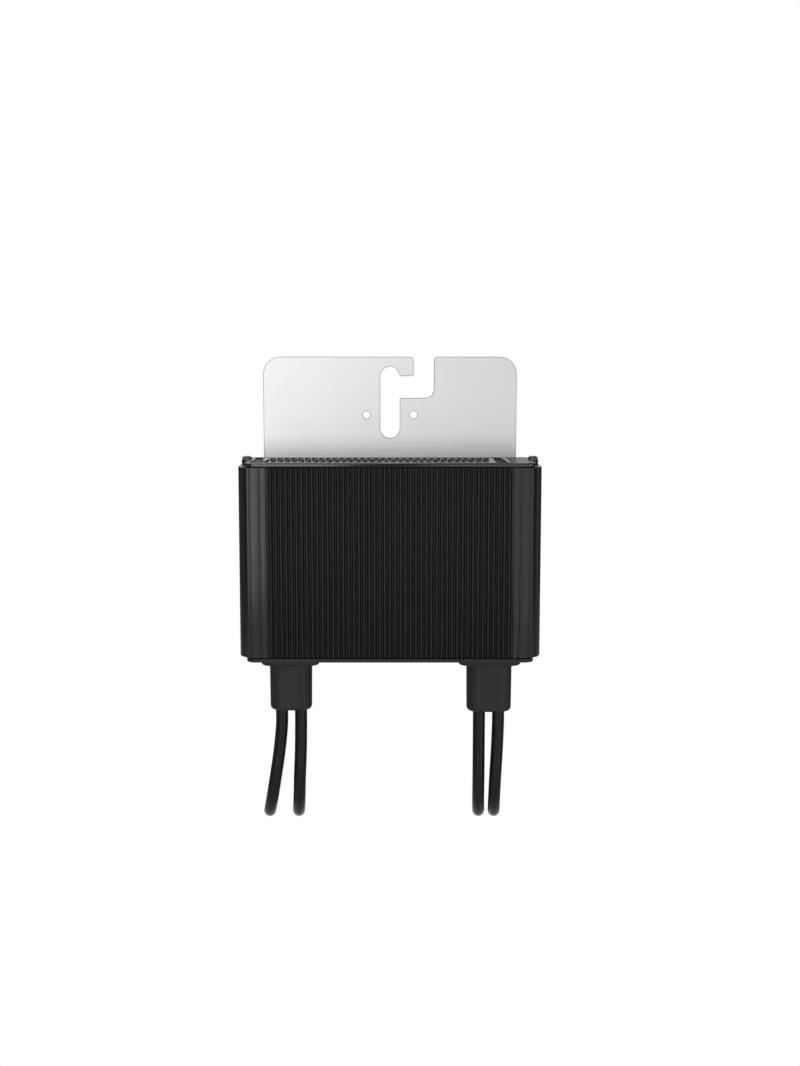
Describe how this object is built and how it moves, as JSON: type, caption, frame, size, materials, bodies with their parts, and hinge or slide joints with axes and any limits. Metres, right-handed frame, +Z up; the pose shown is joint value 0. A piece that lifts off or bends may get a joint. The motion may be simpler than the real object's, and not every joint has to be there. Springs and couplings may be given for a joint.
{
  "type": "power optimizer",
  "caption": "Panel power optimizer: ribbed black aluminium housing on a flat bracket with an L-shaped hook slot, twin-lead glands below, leads with plug connectors folded behind.",
  "frame": {"origin": "centre of the hanging bolt at its seat, the upper end of the hook slot, on the bracket's rear face", "axes": "+Z up as it hangs, +Y backwards out of the bracket's rear face towards the rail, +X to the right seen from the ribbed front"},
  "size_m": [0.1295, 0.0662, 0.2082],
  "materials": {
    "bracket": "satin sheet, bright",
    "screws": "satin",
    "black_screws": "black, satin",
    "housing": "black anodised, satin",
    "caps": "black, semi-gloss",
    "seals": "matt",
    "glands": "matt dark grey",
    "locks": "matt",
    "board": "green",
    "chips": "matt",
    "thermal_pad": "matt",
    "ferrite": "dull",
    "copper": "bright",
    "film_capacitors": "satin",
    "contacts": "bright",
    "lead_jacket": "satin black",
    "strap": "black hook-and-loop",
    "connectors": "matt black"
  },
  "bodies": {
    "root": {"mounting_bracket": "bracket", "bracket_screws": "screws", "top_screws": "black_screws", "bottom_screws": "black_screws", "housing": "housing", "top_cap": "caps", "bottom_cap": "caps", "top_gasket": "seals", "bottom_gasket": "seals", "gland_seals": "seals", "socket_seals": "seals", "output_gland": "glands", "input_gland": "glands", "gland_locks": "locks", "circuit_board": "board", "power_transistors": "chips", "controller_chip": "chips", "thermal_pad": "thermal_pad", "inductor_core": "ferrite", "signal_choke": "ferrite", "inductor_winding": "copper", "lead_conductors": "copper", "film_capacitors": "film_capacitors", "lead_terminals": "contacts", "socket_contacts": "contacts", "pin_contacts": "contacts", "lead_tails": "lead_jacket", "input_lead_inner": "lead_jacket", "input_lead_outer": "lead_jacket", "output_lead_inner": "lead_jacket", "output_lead_outer": "lead_jacket", "output_end_inner": "lead_jacket", "output_end_outer": "lead_jacket", "output_hank": "lead_jacket", "hank_strap": "strap", "input_socket_body": "connectors", "input_socket_nut": "connectors", "input_pin_body": "connectors", "input_pin_nut": "connectors", "output_socket_body": "connectors", "output_socket_nut": "connectors", "output_pin_body": "connectors", "output_pin_nut": "connectors"}
  },
  "joints": []
}
